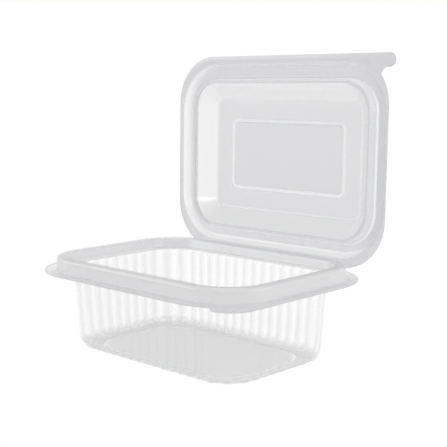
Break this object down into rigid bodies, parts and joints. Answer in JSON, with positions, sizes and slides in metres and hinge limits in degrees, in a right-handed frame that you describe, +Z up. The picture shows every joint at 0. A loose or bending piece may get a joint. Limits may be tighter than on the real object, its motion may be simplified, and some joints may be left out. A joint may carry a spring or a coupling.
{
  "type": "takeaway meal container",
  "caption": "Clear hinged-lid takeaway meal container, empty and open: a fluted rectangular tub with a flanged rim and a domed lid on a crease.",
  "frame": {"origin": "centre of the tub's underside, on the surface that it stands on", "axes": "+Z up, out of the tub's mouth; +X along the crease, towards the corner with the opening tabs; -Y the front, away from the crease"},
  "size_m": [0.16, 0.1324, 0.1589],
  "materials": {
    "clear_sheet": "clear thermoformed sheet, high gloss, colourless with grey edges"
  },
  "bodies": {
    "tub": {"tub": "clear_sheet"},
    "lid": {"lid": "clear_sheet"}
  },
  "joints": [
    {"name": "lid_hinge", "type": "hinge", "parent": "tub", "child": "lid", "pos_m": [0, 0.0582, 0.0433], "axis": [1, 0, 0], "range_deg": [-89, 91]}
  ]
}
